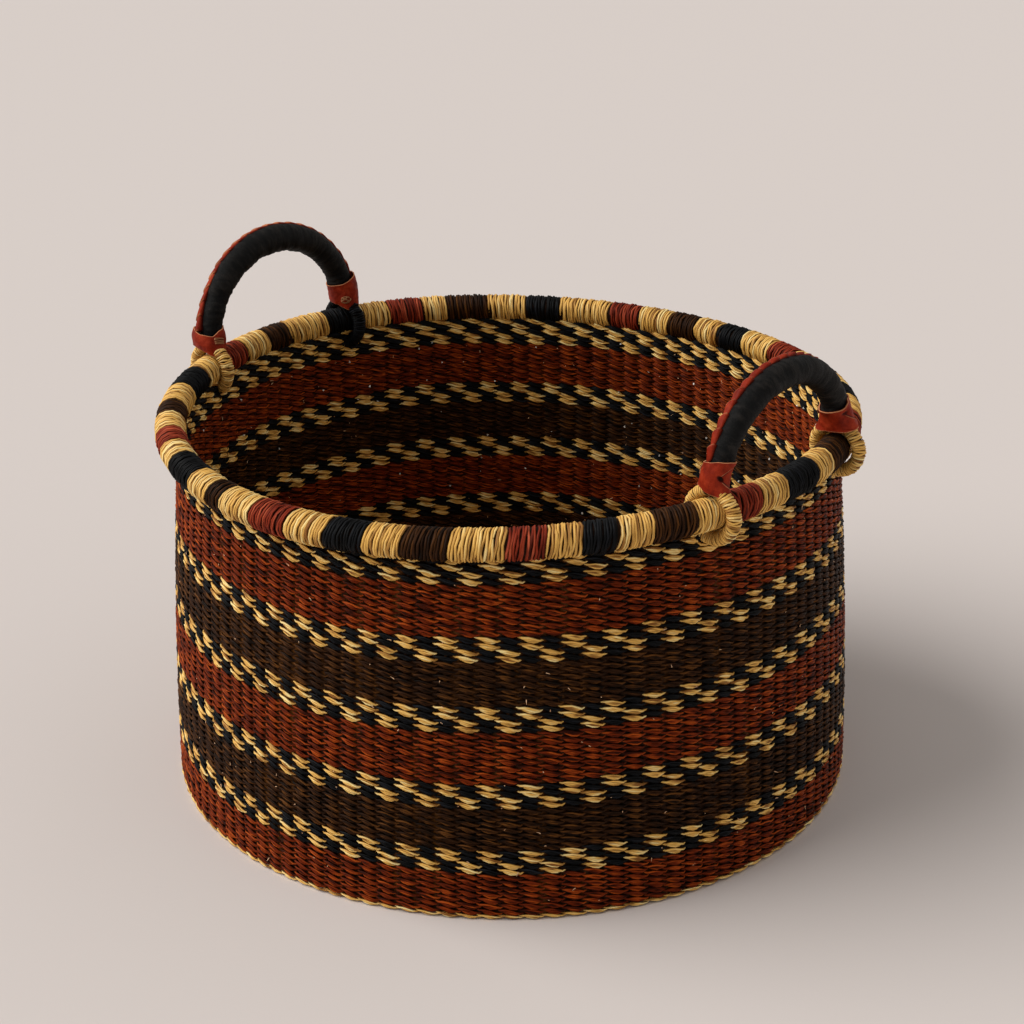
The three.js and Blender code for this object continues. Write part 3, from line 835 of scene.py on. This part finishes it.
def make_cover(handle):
    """Black leather drawn over the rope, lumpy along its length and creased inside the bend."""
    steps, sides = 190, 36
    seed = 17.0 if handle.side == "left" else 43.0
    skin, ridges = [], []

    def point(i, j):
        run = COVER_LOW + (handle.length - 2 * COVER_LOW) * (i / steps)
        around = tau * j / sides
        c, s = cos(around - CREST), sin(around - CREST)
        lump = noise.noise(Vector((c * 0.7, s * 0.7, run * 130 + seed)))
        crease = noise.noise(Vector((c * 1.1, s * 1.1, run * 420 + seed)))
        inner = max(0.0, -c) ** 1.5
        radius = handle.cover_radius(run / handle.length) + 0.0006 * lump
        skin.append((c, s, run))
        ridges.append(0.6 * lump + crease)
        return handle.place(run, around, radius + (0.00025 + 0.0006 * inner) * crease)

    rings = rows_of(steps + 1, sides, point)
    cover = skinned(handle.side + "_leather_cover", [rings], BLACK_LEATHER, caps=True)
    mark(cover, "skin", skin, vector=True)
    mark(cover, "ridge", ridges)
    handle.fit(cover, "black_leather", "handle_cover")


def make_lace(handle):
    """Red lace whipped over the cover's seam. Each turn is a slanting tab that laps the next."""
    tabs, lengths, widths = 19, 8, 10
    narrow, wide, rise = handle.tab
    low, high = (
        edge_at(foot.top, -foot.end * handle.seam_at((1 + foot.end) / 2)) - 0.0015 for foot in handle.feet
    )
    pitch = (handle.length - high - low) / tabs
    painted_fold_shades, edges = [], []

    def point(k, i, j):
        u = i / lengths
        under = j >= widths
        v = 2 * (j % widths) / (widths - 1) - 1
        v = -v if under else v
        lift = handle.tab_foot[0 if k < tabs / 2 else 1]
        lift *= max(0.0, 1 - min(k + u, tabs - k - u) / 3.5) ** 1.5
        lift = -0.0005 if under else 0.0004 + rise * u - 0.0005 * v * v + lift
        run = low + pitch * (k - 0.08 + 1.2 * u + 0.24 * v)
        share = run / handle.length
        radius = handle.cover_radius(share) + lift
        edges.append(0.0 if under else 0.62 * max(0.6 * abs(v) ** 12, u ** 14))
        # Painted shade on each tab's underside and on the end that comes out from under the tab before.
        painted_fold_shades.append(1.0 if under else max(0.0, 1 - u / 0.3))
        around = radians(handle.seam_at(share)) + (narrow + wide * u ** 0.8) * v / radius
        return handle.place(run, around, radius)

    lines = [rows_of(lengths + 1, 2 * widths, partial(point, k)) for k in range(tabs)]
    lace = skinned(handle.side + "_lace", lines, RED_LEATHER, caps=True)
    mark(lace, "painted_fold_shade", painted_fold_shades)
    mark(lace, "edge", edges)
    handle.fit(lace, "red_leather", "handle_piping")


def edge_at(profile, angle):
    """Height of a collar's edge, in metres, between the two points of its profile on either side."""
    start = profile[0][0]
    angle = (angle - start) % 360 + start
    wrapped = profile + ((start + 360, profile[0][1]),)
    for (a, low), (b, high) in zip(wrapped, wrapped[1:]):
        if angle <= b:
            share = (angle - a) / (b - a)
            return (low + (high - low) * (0.5 * share + 0.5 * share * share * (3 - 2 * share))) / 1000
    return wrapped[-1][1] / 1000


def tuck_at(tuck, angle, run):
    """How far a place on a collar is inside the tucked strip end, in mm, and how near its hole."""
    if not tuck:
        return -9.0, 9.0
    tip, tip_up, upper, upper_up, lower, lower_up = tuck
    mm_per_degree = 0.16
    across = ((angle - tip + 180) % 360 - 180) * mm_per_degree
    up = run * 1000 - tip_up
    over = (upper_up - tip_up) / ((upper - tip) * mm_per_degree) * across - up
    under = up - (lower_up - tip_up) / ((lower - tip) * mm_per_degree) * across
    inside = min(over * 0.7, under * 0.7, 22.0 - across)
    hole = hypot((across - 1.3) / 2.4, (up + 0.3 * across) / 1.25)
    return inside, hole


def collar_surface(handle, foot, share, around):
    """A place on a collar: how far up the leg, its radius, its depth in the tuck, and the hole."""
    c, s = cos(around), sin(around)
    seed = handle.turn + foot.end * 7
    angle = degrees(around)
    low, high = edge_at(foot.foot, angle), edge_at(foot.top, angle)
    run = low + (high - low) * share
    across_rim, along_rim = foot.foot_size
    foot_radius = across_rim * along_rim / hypot(along_rim * c, across_rim * s)
    radius = foot_radius + (foot.radius - foot_radius) * share ** 0.6
    radius += foot.bulge * sin(pi * share) + 0.0003 * share ** 8
    flank, flank_top, flank_foot = foot.flank
    facing = max(0.0, cos(around - radians(flank))) ** 2
    radius += facing * (flank_foot + (flank_top - flank_foot) * share)
    radius += 0.0007 * noise.noise(Vector((1.3 * c, 1.3 * s, run * 90 + seed)))
    radius += 0.0002 * noise.noise(Vector((4 * c, 4 * s, run * 400 + seed)))
    tucked, hole = tuck_at(foot.tuck, angle, run)
    pit = foot.hole * exp(-hole ** 4)
    radius -= 0.001 / (1 + exp(-min(max(tucked / 0.12, -30), 30))) + 0.0014 * pit
    return run, radius, tucked, pit


def on_collar(handle, foot, run, around, radius):
    leg = run if foot.end < 0 else handle.length - run
    return handle.place(leg, -foot.end * around, radius) + Vector((*foot.shift, 0))


def make_collar(handle, foot):
    """Red leather collar wrapped round a handle foot, its strip end tucked through a slit."""
    steps, sides = 60, 180
    outer, inner, edges, painted_fold_shades = [], [], [], []
    for i in range(steps + 1):
        share = i / steps
        cut = max(0.0, 1 - min(share, 1 - share) * 34)
        ring, inside_ring = [], []
        for j in range(sides):
            around = tau * j / sides
            run, radius, tucked, pit = collar_surface(handle, foot, share, around)
            ring.append(on_collar(handle, foot, run, around, radius))
            inside_ring.append(on_collar(handle, foot, run, around, radius - LEATHER_THICKNESS))
            seam = exp(-((tucked + 0.2) / 0.26) ** 2)
            edges.append(max(cut, 0.85 * seam * (1 - pit)))
            # Painted shade in the hole and along the crease just inside the tucked strip end.
            painted_fold_shades.append(max(pit * 1.6, 0.9 * exp(-((tucked - 0.34) / 0.34) ** 2)))
        outer.append(ring)
        inner.append(inside_ring)
    name = f"{handle.side}_red_collar_{foot.where}"
    collar = skinned(name, [outer + inner[::-1]], RED_LEATHER, closed=True)
    mark(collar, "edge", edges + [0.3] * len(edges))
    # The inner face gets painted shade (0.6) and paler cut leather (0.3).
    mark(collar, "painted_fold_shade", painted_fold_shades + [0.6] * len(painted_fold_shades))
    handle.fit(collar, "red_leather", "collar_" + foot.where)


def winding_tree():
    """Straw wound round the rope ring that goes over the rim, from collar to collar."""
    tree, given = straw_tree(
        "Eye winding", Int="turns, steps", Float="opening, ring_radius, pinch, tube_radius, seed"
    )
    share = tree.index() / (given.turns * given.steps)
    around = share * given.turns * tau
    spot = tree.vector(share * given.turns * 0.8, around.cos() * 0.9, around.sin() * 0.9)
    wander = tree.noise(tree.moved(spot, (0, 0, 9)))
    swell = tree.noise(tree.moved(spot, (5, 2, 33)))
    sweep = given.opening + share * 2 * (pi - given.opening) + wander * 0.05
    near_top = tree.between(sweep.cos(), 0.25, 0.95)
    radius = given.tube_radius - given.thickness * 0.45 + swell * 0.0006
    reach = given.ring_radius + radius * around.cos()
    across = sweep.sin() * reach * (1 - given.pinch * near_top)
    place = tree.vector(across, radius * around.sin() * 1.08, sweep.cos() * reach)
    # The open mark is lowest on the inner side of the ring, painting shade there.
    return lay_straws(
        tree, given, given.turns * given.steps + 1, place, 0,
        outward=tree.vector(sweep.sin() * around.cos(), around.sin(), sweep.cos() * around.cos()),
        along=tree.vector(around * 0.0037, given.seed, 0),
        tone=tree.noise(tree.vector(share * 60, given.seed, 0)),
        open=0.4 + around.cos() * 0.4, girth=0.86 + around.cos() * 0.16 + wander * 0.2,
    )


def make_eye(handle, foot, group):
    kind = "black" if foot is LEFT_BACK else "natural"
    eye = grown(f"{handle.side}_wound_eye_{foot.where}", group, dict(
        turns=62, steps=12, opening=radians(24), ring_radius=EYE_RADIUS, pinch=EYE_PINCH,
        tube_radius=EYE_TUBE_RADIUS, width=0.0017, thickness=0.0012,
        seed=2.0 * foot.end + handle.turn, straw=STRAW[kind],
    ))
    turn, outward = foot.eye
    handle.fit(
        eye, kind + "_straw", "eye_winding_" + foot.where,
        Matrix.Translation((0, foot.end * (HALF_CHORD + outward), 0)),
        Matrix.Rotation(radians(turn) * foot.end, 4, "Z"),
    )


def make_rope(handle):
    """The grass rope inside the leather."""
    steps, sides = 60, 12

    def point(i, j):
        run = EYE_RADIUS + (handle.length - 2 * EYE_RADIUS) * i / steps
        return handle.place(run, tau * j / sides, ROPE_RADIUS)

    rings = rows_of(steps + 1, sides, point)
    rope = skinned(handle.side + "_rope", [rings], STRAW["natural"], caps=True)
    handle.fit(rope, "grass_rope", "handle_core")


def make_rope_eyes(handle):
    """The two rope rings under the windings, drawn in at the top."""
    steps, sides = 48, 10

    def point(foot, i, j):
        turn, outward = foot.eye
        sweep, around = tau * i / steps, tau * j / sides
        out = Vector((sin(sweep), 0, cos(sweep)))
        spot = out * (EYE_RADIUS + EYE_ROPE_RADIUS * cos(around))
        spot.x *= 1 - EYE_PINCH * min(max(out.z / 0.95, 0.0), 1.0) ** 2
        spot.y = EYE_ROPE_RADIUS * sin(around)
        turned = Matrix.Rotation(radians(turn) * foot.end, 3, "Z") @ spot
        return turned + Vector((0, foot.end * (HALF_CHORD + outward), 0))

    lines = [rows_of(steps, sides, partial(point, foot)) for foot in handle.feet]
    eyes = skinned(handle.side + "_rope_eyes", lines, STRAW["brown"], closed=True)
    handle.fit(eyes, "grass_rope", None)


def tube(points, thickness, width):
    """Rings of six points along a line of points, flat side out from the collar's face."""
    rings = []
    for i, point in enumerate(points):
        along = (points[min(i + 1, len(points) - 1)] - points[max(i - 1, 0)]).normalized()
        across = along.cross(SIDEWAYS).normalized()
        out = across.cross(along).normalized()
        rings.append([
            point + out * (thickness * cos(a)) + across * (width * sin(a))
            for a in (tau * j / 6 for j in range(6))
        ])
    return rings


def round_knot():
    """One straw wound about itself many ways into a lumpy ball."""
    points = []
    for i in range(241):
        t = tau * i / 240
        reach = 0.003 + 0.0004 * sin(9 * t)
        x, y = sin(3 * t) * cos(4 * t + 0.4), sin(3 * t) * sin(4 * t + 0.4)
        points.append(Vector((0.0014 * x, reach * y, 0.0021 * cos(3 * t))))
    return [tube(points, 0.00042, 0.00052)]


def flat_knot():
    """Four straws side by side, in at one end and out at the other."""
    def point(n, i):
        share = i / 16
        bow = sin(pi * share) ** 0.5 * (0.0012 - 0.0001 * n)
        y = 0.0031 * cos(pi * share) + 0.0003 * sin(3 * n)
        z = (n - 1.5) * 0.00106 + 0.0002 * sin(2 * n + 4 * share) - 0.28 * y
        return Vector((bow - 0.0006, y, z))

    return [tube(points, 0.00044, 0.00046) for points in rows_of(4, 17, point)]


def make_knot(handle, foot):
    """Straws tied through the collar: a flat bar of straws, or a round knot."""
    angle, height, rounded = foot.knot
    name = f"{handle.side}_straw_knot_{foot.where}"
    knot = skinned(name, round_knot() if rounded else flat_knot(), STRAW["knot"], caps=True)
    low, high = edge_at(foot.foot, angle), edge_at(foot.top, angle)
    around = radians(angle)
    run, radius = collar_surface(handle, foot, (height / 1000 - low) / (high - low), around)[:2]
    handle.fit(
        knot, "natural_straw", "knot_" + foot.where,
        Matrix.Translation(on_collar(handle, foot, run, around, radius)),
        Matrix.Rotation(around, 4, "Z"),
    )


def make_handle(handle, winding):
    make_cover(handle)
    make_lace(handle)
    make_rope(handle)
    make_rope_eyes(handle)
    for foot in handle.feet:
        make_collar(handle, foot)
        make_eye(handle, foot, winding)
        make_knot(handle, foot)


def make_floor():
    bpy.ops.mesh.primitive_circle_add(vertices=96, radius=30, fill_type="NGON")
    floor = bpy.context.object
    floor.name = "floor"
    material, tree = cleared(bpy.data.materials.new("floor"))
    end_material(tree, rgb(211, 203, 199), 0.8, 0.15)
    floor.data.materials.append(material)


def make_world():
    """Even pale light, and a paler background where the camera looks past the floor."""
    bpy.context.scene.world, tree = cleared(bpy.data.worlds.new("world"))
    seen = tree.add("ShaderNodeLightPath", output="Is Camera Ray")
    light = tree.add("ShaderNodeBackground", ((1.0, 0.98, 0.96, 1), 0.36))
    backdrop = tree.add("ShaderNodeBackground", (rgb(216, 207, 200), 1.0))
    both = tree.add("ShaderNodeMixShader", (seen, light, backdrop))
    tree.add("ShaderNodeOutputWorld", (both,))


def make_light(name, toward, energy, spread, colour):
    """Light from one direction, spread over some degrees of the sky."""
    data = bpy.data.lights.new(name, "SUN")
    data.angle = radians(spread)
    data.energy = energy
    data.color = colour
    light = new_object(name, data)
    light.rotation_euler = Vector(toward).to_track_quat("Z", "Y").to_euler()


def make_camera():
    """The photograph's view: 40 degrees round to the right, 23 degrees down."""
    pitch, roll, azimuth = 0.4016, -0.0115, radians(39.9)
    data = bpy.data.cameras.new("camera")
    data.lens = 75.29
    data.sensor_width = 36
    camera = new_object("camera", data)
    ahead = Vector((0, cos(pitch), -sin(pitch)))
    rise = Vector((0, sin(pitch), cos(pitch)))
    right = cos(roll) * SIDEWAYS + sin(roll) * rise
    up = -sin(roll) * SIDEWAYS + cos(roll) * rise
    turn = Matrix.Rotation(azimuth, 3, "Z")
    axes = Matrix((turn @ right, turn @ up, turn @ -ahead)).transposed()
    camera.matrix_world = Matrix.Translation((0.7736, -0.9227, 0.6665)) @ axes.to_4x4()
    bpy.context.scene.camera = camera


make_camera()
make_floor()
make_world()
# Broad soft light from the left of the camera, like a studio window, and a little from behind on the right
make_light("window", (-0.7, -0.6, 0.8), 3.0, 56, (1.0, 0.98, 0.955))
make_light("fill", (0.49, 0.74, 0.5), 0.45, 100, (1.0, 0.93, 0.86))
bpy.context.scene.view_settings.view_transform = "Standard"

twined = twined_rows_tree()
make_wall(twined)
make_base(twined)
make_base_start()
make_stakes(stakes_tree())
make_fibres(fibres_tree())
make_rim(binding_tree())
make_rim_core()
winding_group = winding_tree()
for each in HANDLES:
    make_handle(each, winding_group)
